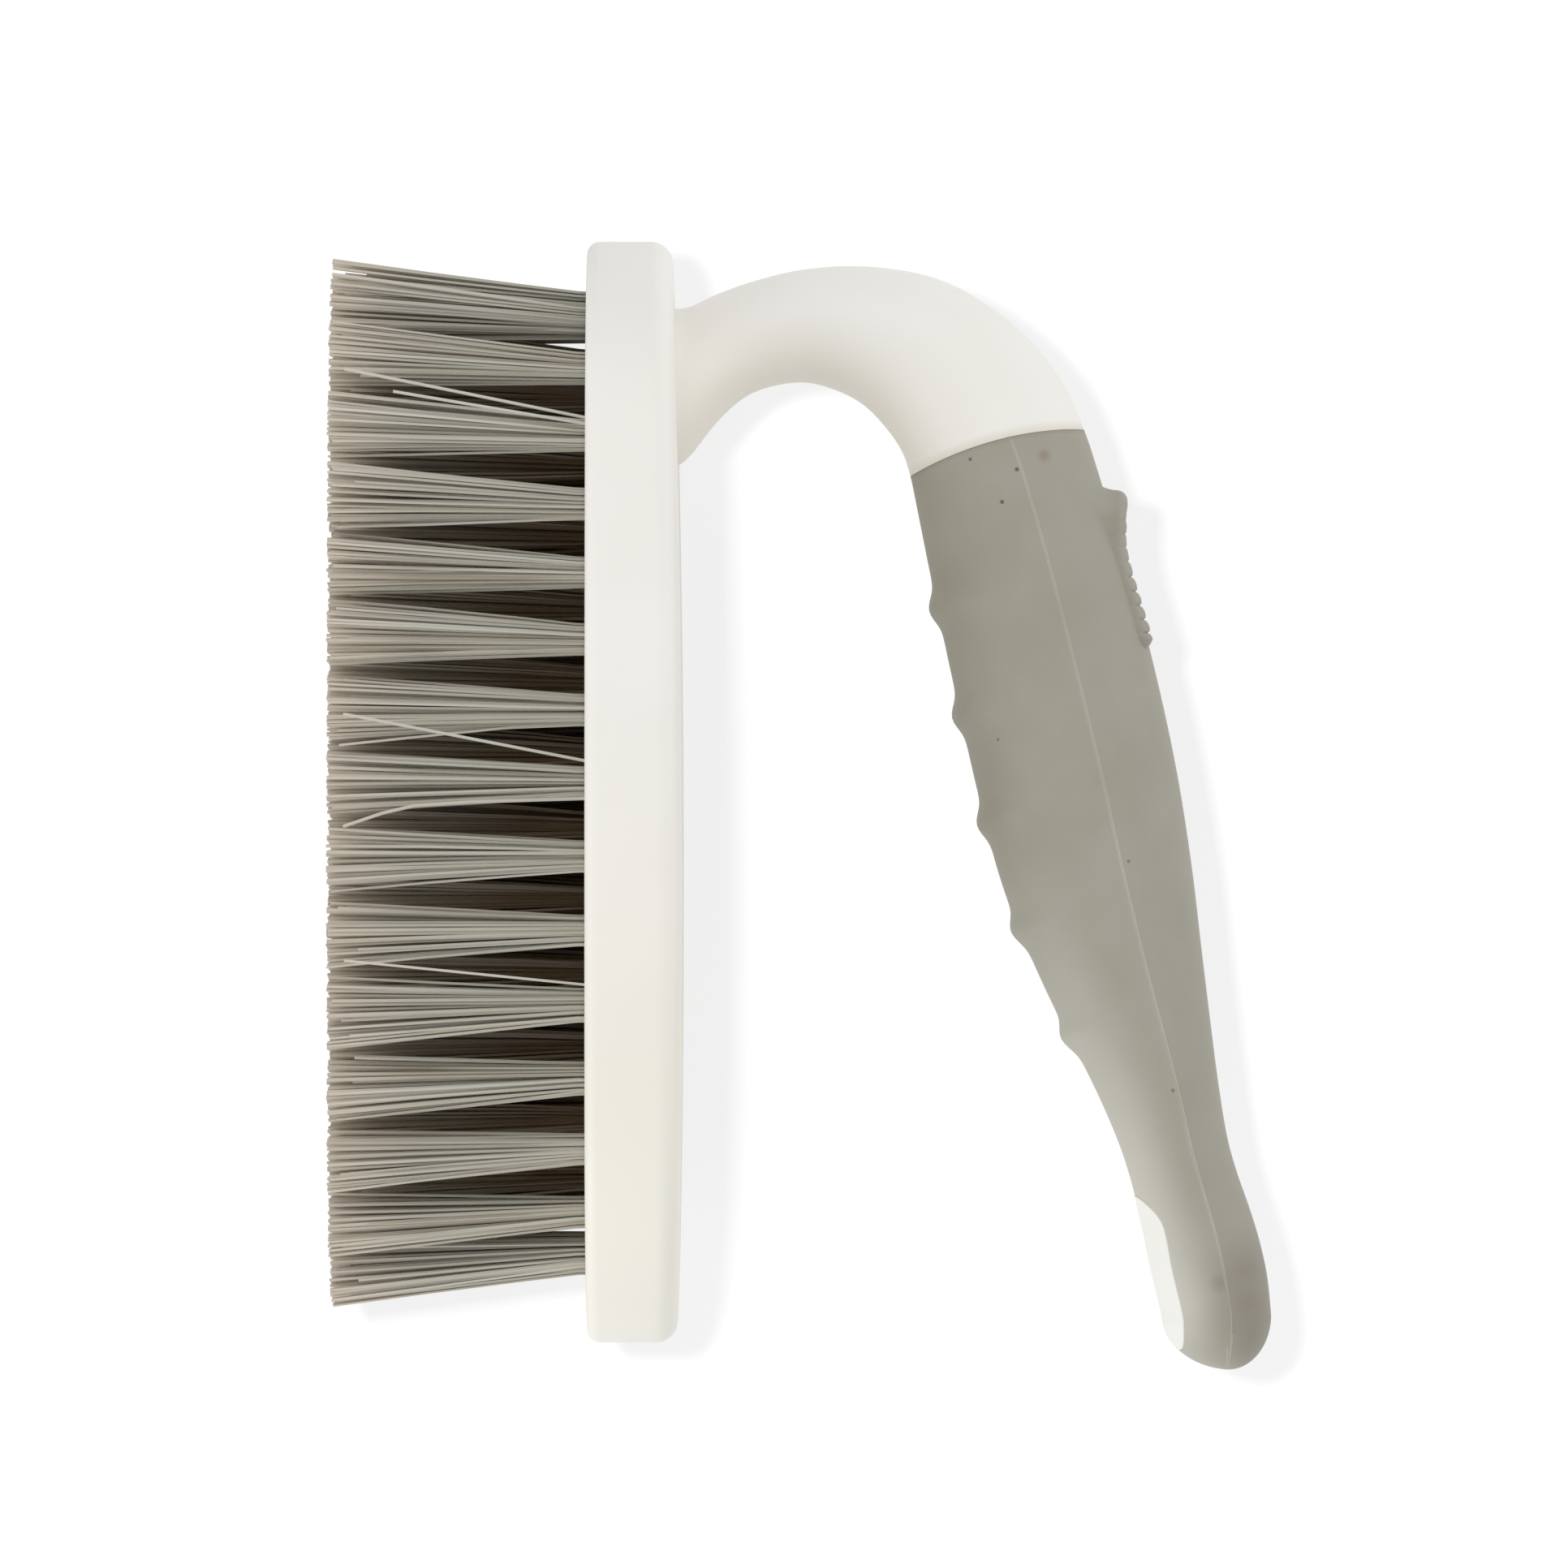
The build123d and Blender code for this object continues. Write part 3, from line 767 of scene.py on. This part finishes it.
def addRing(piece, station, shrink=1.0, shift=0.0):
    # one ring across the handle: a circle, its two halves drawn out, then turned across the line
    finger = onHandle(*station[0:2])
    palm = onHandle(*station[2:4])
    across = palm - finger
    middle = finger + across * station[5]
    halfDepth = station[4] * mm
    along = across.normalized().cross(Vector((0, -1, 0)))
    middle = middle + along * shift
    bpy.ops.mesh.select_all(action="DESELECT")
    bpy.ops.mesh.primitive_circle_add(vertices=ringPoints, radius=halfDepth * shrink, location=middle)
    mesh = bmesh.from_edit_mesh(piece.data)
    count = len(mesh.verts)
    for side, share in ((-1, station[5]), (1, 1 - station[5])):
        pickNumbers(piece, count - ringPoints, count)
        mesh = bmesh.from_edit_mesh(piece.data)
        mesh.verts.ensure_lookup_table()
        for vertex in mesh.verts[count - ringPoints:]:
            if (vertex.co.x - middle.x) * side < 1e-6:
                vertex.select_set(False)
        mesh.select_flush_mode()
        bmesh.update_edit_mesh(piece.data)
        bpy.ops.transform.resize(value=(across.length * share / halfDepth, 1, 1), center_override=middle)
    pickNumbers(piece, count - ringPoints, count)
    turn = math.atan2(across.z, across.x)
    bpy.ops.transform.rotate(value=turn, orient_axis="Y", center_override=middle)
    if count > ringPoints:
        pickNumbers(piece, count - 2 * ringPoints, count)
        bpy.ops.mesh.bridge_edge_loops()
    return count // ringPoints - 1


def startRings(name):
    startPiece()
    bpy.ops.mesh.primitive_plane_add(size=mm)
    piece = namePiece(name)
    startEdit(piece)
    selectMesh()
    bpy.ops.mesh.delete(type="VERT")
    return piece


def closeRing(piece, number):
    pickNumbers(piece, number * ringPoints, (number + 1) * ringPoints)
    bpy.ops.mesh.edge_face_add()


def closeTip(piece):
    # rings shrink towards the rounded tip, and the last is drawn together to a point
    last = stations[-1]
    for angle in handleLine["tipAngles"]:
        angle = math.radians(angle)
        number = addRing(piece, last, math.cos(angle), handleLine["tipReach"] * mm * math.sin(angle))
    number = addRing(piece, last, handleLine["tipEnd"], handleLine["tipReach"] * mm)
    pickNumbers(piece, number * ringPoints, (number + 1) * ringPoints)
    bpy.ops.mesh.merge(type="CENTER")


# white arch: from inside the block to a little past the joint, then cut back to the domed face
handleArch = startRings("handleArch")
archEnd = jointLength + joint["overlap"]
steps = round(archEnd / handleLine["archGap"])
for i in range(steps + 1):
    last = addRing(handleArch, stationAt(archEnd * i / steps))
closeRing(handleArch, 0)
closeRing(handleArch, last)
tidyMesh(handleArch)
applyModifier(handleArch, "SUBSURF", levels=1, render_levels=1)
print("arch raised")


def domeCutter(name, radius):
    startPiece()
    bpy.ops.mesh.primitive_cylinder_add(
        vertices=512, radius=radius * mm, depth=60 * mm, location=jointCentre, rotation=(math.radians(90), 0, 0)
    )
    return namePiece(name)


dome = domeCutter("dome", joint["radius"] + joint["gap"])
cutWith(handleArch, dome, "DIFFERENCE")
remove(dome)
smooth(handleArch, 35)
finish(handleArch, archPlastic, "white_plastic", "handle")

# soft grip: rings with a ridge at every twelfth, a parting bead, then the domed start and the window
grip = {
    "firstRidge": 50.1, "ridgePitch": 14.6, "ridges": 5, "ringsPerRidge": 12, "ringsBefore": 10,
    "ridgeHeight": 1.3, "ridgeReach": 3.3, "ridgeSpan": 0.72, "crestLine": 0.35, "crestDepth": 8,
    "startGap": 1.4, "startClear": 0.6, "lastFinger": 145.6,
    "partingWidth": 0.34, "partingHeight": 0.13,
}
ringStep = grip["ridgePitch"] / grip["ringsPerRidge"]
softGrip = startRings("softGrip")
softGrip.data.materials.append(greyRubber)
softGrip.data.materials.append(beadHighlightRubber)
places = []
spot = jointLength - joint["overlap"]
finger = grip["firstRidge"] - ringStep * grip["ringsBefore"]
while spot < lengthAtFinger(finger) - grip["startClear"]:
    places.append(spot)
    spot += grip["startGap"]
while finger < grip["lastFinger"]:
    places.append(lengthAtFinger(finger))
    finger += ringStep
places.append(milestones[-1])
for place in places:
    addRing(softGrip, stationAt(place))
closeTip(softGrip)
closeRing(softGrip, 0)


def raiseRidges(piece):
    # each ridge is a soft bell on the finger side that fades out before the widest line
    for i in range(grip["ridges"]):
        station = stationAt(lengthAtFinger(grip["firstRidge"] + grip["ridgePitch"] * i))
        finger, palm = onHandle(*station[0:2]), onHandle(*station[2:4])
        out = (finger - palm).normalized()
        line = out.cross(Vector((0, 1, 0)))
        reach = station[4] * mm * grip["ridgeSpan"]

        def onCrest(vertex):
            offset = vertex.co - finger
            inside = abs(offset.dot(line)) < grip["crestLine"] * mm and offset.dot(out) > -grip["crestDepth"] * mm
            return inside and abs(vertex.co.y) < reach

        pick(piece, "verts", onCrest)
        bpy.ops.transform.translate(
            value=out * grip["ridgeHeight"] * mm, use_proportional_edit=True, proportional_edit_falloff="SMOOTH",
            proportional_size=grip["ridgeReach"] * mm,
        )


raiseRidges(softGrip)

# the parting line is marked on the widest line before the surface is subdivided
ringCount = len(places) + len(handleLine["tipAngles"]) - 1
bpy.ops.mesh.select_mode(type="EDGE")
bpy.ops.mesh.select_all(action="DESELECT")
mesh = bmesh.from_edit_mesh(softGrip.data)
mesh.verts.ensure_lookup_table()
widest = set()
for i in range(ringCount):
    ring = range(i * ringPoints, (i + 1) * ringPoints)
    widest.add(max(ring, key=lambda n: mesh.verts[n].co.y))
    widest.add(min(ring, key=lambda n: mesh.verts[n].co.y))
for edge in mesh.edges:
    a, b = edge.verts
    if a.index in widest and b.index in widest and abs(a.index - b.index) > ringPoints // 2:
        edge.select_set(True)
bmesh.update_edit_mesh(softGrip.data)
bpy.ops.mesh.mark_seam(clear=False)
tidyMesh(softGrip)
applyModifier(softGrip, "SUBSURF", levels=1, render_levels=1)
startEdit(softGrip, "EDGE")
pick(softGrip, "edges", lambda edge: edge.seam)
bpy.ops.mesh.bevel(offset=grip["partingWidth"] / 2 * mm, segments=2, profile=0.5)
for side in (-1, 1):
    # the middle line of the bead stands out a little on each side
    pick(softGrip, "verts", lambda v: v.co.y * side > 0 and sum(edge.seam for edge in v.link_edges) >= 2)
    bpy.ops.transform.translate(value=(0, side * grip["partingHeight"] * mm, 0))
# the bead's faces are those with a seam and a short side
beadEdge = 0.8 * grip["partingWidth"] * mm
pick(
    softGrip, "faces",
    lambda face: any(edge.seam for edge in face.edges) and min(edge.calc_length() for edge in face.edges) < beadEdge,
)
# the bead's faces take the lighter rubber, the painted highlight
softGrip.active_material_index = 1
bpy.ops.object.material_slot_assign()
endEdit()
print("grip raised, triangles:", sum(len(p.vertices) - 2 for p in softGrip.data.polygons))

# window: the same tip, before the rubber's cuts, kept where an upright cutter stands
window = {
    "middle": (140.8, 63.4), "tilt": 14, "length": 21.8, "width": 13.0, "bow": 4.5,
    "ends": [(-1, 11.9, 5.4), (1, 12.3, 4.3)],  # side of the window, width, corner radius
    "gap": 0.06, "depth": 10, "rim": 0.35, "softRim": 0.3, "proud": 0.1, "start": 127,
}


def pickUpright(piece, low, high):
    # upright edges between two places along the window
    pick(
        piece, "edges",
        lambda edge: abs(edge.verts[0].co.z - edge.verts[1].co.z) > mm and low < edge.verts[0].co.x < high,
    )


def windowCutter(name, grow):
    length, width = window["length"] + 2 * grow, window["width"] + 2 * grow
    startPiece()
    bpy.ops.mesh.primitive_cube_add(size=1)
    bpy.context.object.scale = (length * mm, width * mm, window["depth"] * mm)
    cutter = namePiece(name)
    startEdit(cutter)
    selectMesh()
    bpy.ops.mesh.bisect(plane_co=(0, 0, 0), plane_no=(1, 0, 0))
    for end, endWidth, _ in window["ends"]:
        pick(cutter, "verts", lambda v: v.co.x * end > mm)
        bpy.ops.transform.resize(value=(1, (endWidth + 2 * grow) / width, 1), center_override=(0, 0, 0))
    pickUpright(cutter, -mm, mm)
    bpy.ops.mesh.bevel(offset=window["bow"] * mm, segments=8, profile=0.5)
    for end, _, corner in window["ends"]:
        spot = end * length / 2 * mm
        pickUpright(cutter, spot - 0.1 * mm, spot + 0.1 * mm)
        bpy.ops.mesh.bevel(offset=(corner + grow) * mm, segments=24, profile=0.5)
    endEdit()
    cutter.location = onHandle(*window["middle"])
    cutter.rotation_euler = (0, math.radians(-window["tilt"]), 0)
    applyPlace()
    return cutter


tipWindow = duplicate(softGrip, "tipWindow")
cutter = windowCutter("windowCutter", 0)
cutWith(tipWindow, cutter, "INTERSECT")
remove(cutter)
cutter = windowCutter("openingCutter", window["gap"])
cutWith(softGrip, cutter, "DIFFERENCE")
remove(cutter)

# the rubber's start: all that lies outside the dome is cut off
startPiece()
bpy.ops.mesh.primitive_cube_add(size=1, location=onHandle(*joint["startMiddle"]))
bpy.context.object.scale = [side * mm for side in joint["startSize"]]
startBlock = namePiece("startBlock")
dome = domeCutter("dome", joint["radius"])
cutWith(startBlock, dome, "DIFFERENCE")
cutWith(softGrip, startBlock, "DIFFERENCE")
remove(dome, startBlock)


def pickSharp(piece):
    startEdit(piece, "EDGE")
    bpy.ops.mesh.edges_select_sharp(sharpness=math.radians(50))


pickSharp(tipWindow)
bpy.ops.mesh.bevel(offset=window["rim"] * mm, segments=3, profile=0.5, clamp_overlap=True)
endEdit()
pickSharp(softGrip)
mesh = bmesh.from_edit_mesh(softGrip.data)
windowStart = onHandle(window["start"], 0).x
for edge in mesh.edges:
    if edge.select and min(v.co.x for v in edge.verts) < windowStart:
        edge.select_set(False)
bmesh.update_edit_mesh(softGrip.data)
bpy.ops.mesh.bevel(offset=window["softRim"] * mm, segments=2, profile=0.5, clamp_overlap=True)
# slivers and spikes that the bevel leaves on the rim go
selectMesh()
bpy.ops.mesh.dissolve_degenerate(threshold=0.000001)
pick(softGrip, "verts", lambda v: len(v.link_edges) == 2)
bpy.ops.mesh.dissolve_verts()
endEdit()
tipWindow.data.materials.clear()
tilt = math.radians(window["tilt"])
tipWindow.location = Vector((math.sin(tilt), 0, -math.cos(tilt))) * window["proud"] * mm
only(tipWindow)
applyPlace()
smooth(tipWindow, 35)
smooth(softGrip, 35)
finish(tipWindow, whitePlastic, "white_plastic", "handle")
finish(softGrip, greyRubber, "grey_rubber", "soft_grip")
print("grip cut for its start and window")

# thumb pad: a rounded plate that follows the palm side, scalloped by ten ribs, on a flared skirt
pad = {
    "lip": [(33.9, 60.45), (35.0, 60.6), (36.0, 60.62)],
    "crests": [
        (37.1, 60.43), (39.0, 60.46), (40.9, 60.42), (42.6, 60.66), (44.7, 61.19), (46.8, 61.8), (48.7, 62.4),
        (50.6, 62.96), (52.5, 63.56), (54.2, 64.02),
    ],
    "tail": [(54.9, 63.7), (55.6, 63.1), (57.0, 61.8)],
    "valleys": (0.2, 0.2, 0.22, 0.3, 0.45, 0.5, 0.5, 0.5, 0.5),
    "lipRows": 4, "ribRows": 8, "tailRows": (54.2, 54.5, 54.9, 55.2, 55.6, 56.2),
    "level": 60, "width": 12.6, "corner": 4.0, "edge": 1.3, "wall": 2.5, "skirt": 3.3, "flare": 2.0, "skirtRound": 1.2,
}
padLine = pad["lip"] + pad["crests"] + pad["tail"]
padStart, padEnd = padLine[0][0], padLine[-1][0]
padMiddle = onHandle((padStart + padEnd) / 2, pad["level"])


def padHeight(along):
    # height of the pad's top, with a round crest on every rib
    for (a, low), (b, high) in zip(padLine, padLine[1:]):
        if along <= b:
            break
    t = min(max((along - a) / (b - a), 0), 1)
    height = low + (high - low) * t
    if (a, low) in pad["crests"] and (b, high) in pad["crests"]:
        depth = pad["valleys"][pad["crests"].index((a, low))]
        height -= depth * (1 - math.sqrt(1 - (1 - abs(2 * t - 1)) ** 2))
    return height


startPiece()
bpy.ops.mesh.primitive_plane_add(size=1, location=padMiddle)
bpy.context.object.scale = ((padEnd - padStart) * mm, pad["width"] * mm, 1)
thumbPad = namePiece("thumbPad")
startEdit(thumbPad, "VERT")
selectMesh()
bpy.ops.mesh.bevel(offset=pad["corner"] * mm, segments=8, affect="VERTICES")
selectMesh()
bpy.ops.mesh.extrude_region_move(TRANSFORM_OT_translate={"value": (0, 0, -pad["wall"] * mm)})
bpy.ops.mesh.extrude_region_move(TRANSFORM_OT_translate={"value": (0, 0, -pad["skirt"] * mm)})
flareX = 1 + 2 * pad["flare"] / (padEnd - padStart)
flareY = 1 + 2 * pad["flare"] / pad["width"]
bpy.ops.transform.resize(value=(flareX, flareY, 1), center_override=padMiddle)
selectMesh()
bpy.ops.mesh.normals_make_consistent(inside=False)
topLevel = padMiddle.z - 0.01 * mm
wallLevel = onHandle(0, pad["level"] - pad["wall"]).z
pick(thumbPad, "edges", lambda edge: all(abs(v.co.z - wallLevel) < 0.01 * mm for v in edge.verts))
bpy.ops.mesh.bevel(offset=pad["skirtRound"] * mm, segments=4, profile=0.5, clamp_overlap=False)
pick(
    thumbPad, "edges",
    lambda edge: all(v.co.z > topLevel for v in edge.verts) and any(abs(f.normal.z) < 0.5 for f in edge.link_faces),
)
bpy.ops.mesh.bevel(offset=pad["edge"] * mm, segments=5, profile=0.5, clamp_overlap=False)


def splitRows(line, count):
    return [a + (b - a) * i / count for (a, _), (b, _) in zip(line, line[1:]) for i in range(count)]


rows = splitRows(pad["lip"] + pad["crests"][:1], pad["lipRows"])
rows += splitRows(pad["crests"], pad["ribRows"])
rows += pad["tailRows"]
for along in rows:
    selectMesh()
    bpy.ops.mesh.bisect(plane_co=onHandle(along, 0), plane_no=(1, 0, 0))
selectMesh()
bpy.ops.mesh.remove_doubles(threshold=0.00002)
columns = []
for x in sorted(v.co.x for v in bmesh.from_edit_mesh(thumbPad.data).verts):
    if columns and x - columns[-1][1] < 0.000002:
        columns[-1][1] = x
    else:
        columns.append([x, x])
for first, last in columns:
    lift = (padHeight(((first + last) / 2 - noseX) / mm) - pad["level"]) * mm
    pick(thumbPad, "verts", lambda v: first - 1e-8 <= v.co.x <= last + 1e-8)
    bpy.ops.transform.translate(value=(0, 0, lift))
endEdit()
smooth(thumbPad, 50)
finish(thumbPad, greyRubber, "grey_rubber", "soft_grip")
print("pad shaped and ribbed")

# tufts: filaments packed in each bore, fanning out towards the tips
tuft = {
    "filaments": 72, "width": 0.46, "rootRadius": 2.08, "tipRadius": 4.55, "tipScatter": 0.26, "wave": 0.08,
    "leanAlong": 0.036, "leanAcross": 0.05, "strayShare": 0.008, "strayReach": 2.6, "sunk": 2.4,
    "unevenTips": 0.32, "unevenMost": 0.9, "shortShare": 0.13, "shortRange": (0.8, 5.0),
    "flarePower": 1.0, "innerFlarePower": 0.72, "knots": (0, 0.1, 0.3, 0.65, 1),
    "shade": 0.06, "tones": (2.6, 1.9), "strayTone": 0.95, "seed": 41,
    # single filaments that cross the gaps on the near side
    "strays": [
        [(-50.2, -23.5, 36), (-56.9, -26.5, 2.5)], [(-4.0, -26, 36), (-10.5, -29.5, 2.4)],
        [(26.0, -27, 36), (22.6, -30, 2.5)], [(0.8, -26, 36), (1.5, -28.5, 14), (2.2, -29.2, 9.5), (4.6, -30, 2.4)],
        [(-49.4, -23.7, 36), (-53.9, -26.2, 9)],
    ],
}
random.seed(tuft["seed"])


def filamentPath(x, y, flarePower):
    angle = random.uniform(0, 2 * math.pi)
    reach = math.sqrt(random.random())
    rootX = reach * tuft["rootRadius"] * math.cos(angle)
    rootY = reach * tuft["rootRadius"] * math.sin(angle)
    flare = tuft["tipRadius"] / tuft["rootRadius"]
    tipX = rootX * flare + random.gauss(0, tuft["tipScatter"])
    tipY = rootY * flare + random.gauss(0, tuft["tipScatter"])
    if random.random() < tuft["strayShare"]:
        tipX += random.uniform(-1, 1) * tuft["strayReach"]
        tipY += random.uniform(-1, 1) * tuft["strayReach"]
    endZ = min(abs(random.gauss(0, tuft["unevenTips"])), tuft["unevenMost"])
    if random.random() < tuft["shortShare"]:
        endZ = random.uniform(*tuft["shortRange"])
    waveX = random.gauss(0, tuft["wave"])
    waveY = random.gauss(0, tuft["wave"])
    startZ = bristleLength + tuft["sunk"]
    path = []
    for share in tuft["knots"]:
        z = startZ + (endZ - startZ) * share
        t = max((bristleLength - z) / bristleLength, 0)
        spread = t**flarePower
        bulge = math.sin(math.pi * t)
        px = x * (1 + tuft["leanAlong"] * t) + rootX + (tipX - rootX) * spread + waveX * bulge
        py = y * (1 + tuft["leanAcross"] * t) + rootY + (tipY - rootY) * spread + waveY * bulge
        path.append((px * mm, py * mm, z * mm, 1))
    return path


def strayPath(corners):
    # as many knots as the other filaments have, spread evenly over the corners
    path = []
    for i in range(len(tuft["knots"])):
        t = i / (len(tuft["knots"]) - 1) * (len(corners) - 1)
        n = min(int(t), len(corners) - 2)
        place = Vector(corners[n]).lerp(Vector(corners[n + 1]), t - n)
        path.append((*(place * mm), 1))
    return path


def addFilament(curve, path):
    spline = curve.splines.new("POLY")
    spline.points.add(len(path) - 1)
    for point, place in zip(spline.points, path):
        point.co = place


def plantTufts(name, places, shelterShare, flarePower, strays=()):
    curve = bpy.data.curves.new(name, "CURVE")
    curve.dimensions = "3D"
    curve.bevel_depth = tuft["width"] / 2 * mm
    curve.bevel_resolution = 0
    curve.use_fill_caps = True
    tones = []
    for x, y in places:
        shade = random.gauss(0, tuft["shade"])
        for _ in range(tuft["filaments"]):
            addFilament(curve, filamentPath(x, y, flarePower))
            tones.append(min(max(random.betavariate(*tuft["tones"]) + shade, 0), 1))
    for corners in strays:
        addFilament(curve, strayPath(corners))
        tones.append(tuft["strayTone"])
    startPiece()
    piece = bpy.data.objects.new(name, curve)
    scene.collection.objects.link(piece)
    only(piece)
    bpy.ops.object.convert(target="MESH")
    piece = bpy.context.object
    mesh = piece.data
    mesh.name = name
    each = len(mesh.vertices) // len(tones)
    tone = mesh.attributes.new("tone", "FLOAT", "POINT")
    run = mesh.attributes.new("run", "FLOAT", "POINT")
    shelter = mesh.attributes.new("shelter", "FLOAT", "POINT")
    for vertex in mesh.vertices:
        tone.data[vertex.index].value = tones[vertex.index // each]
        run.data[vertex.index].value = min(max(1 - vertex.co.z / underside, 0), 1)
        shelter.data[vertex.index].value = shelterShare
    smooth(piece, 60)
    finish(piece, nylon, "bristle_nylon", "bristles")
    print(name, "filaments:", len(tones), "triangles:", sum(len(p.vertices) - 2 for p in mesh.polygons))


plantTufts("outerBristles", outerTufts, 0.0, tuft["flarePower"], tuft["strays"])
plantTufts("middleBristles", middleTufts, 0.93, tuft["innerFlarePower"])
plantTufts("innerBristles", innerTufts + rowTufts, 1.0, tuft["innerFlarePower"])
print("tufts planted")

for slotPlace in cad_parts["anchors"].material_slots:
    slotPlace.material = brass

startPiece()
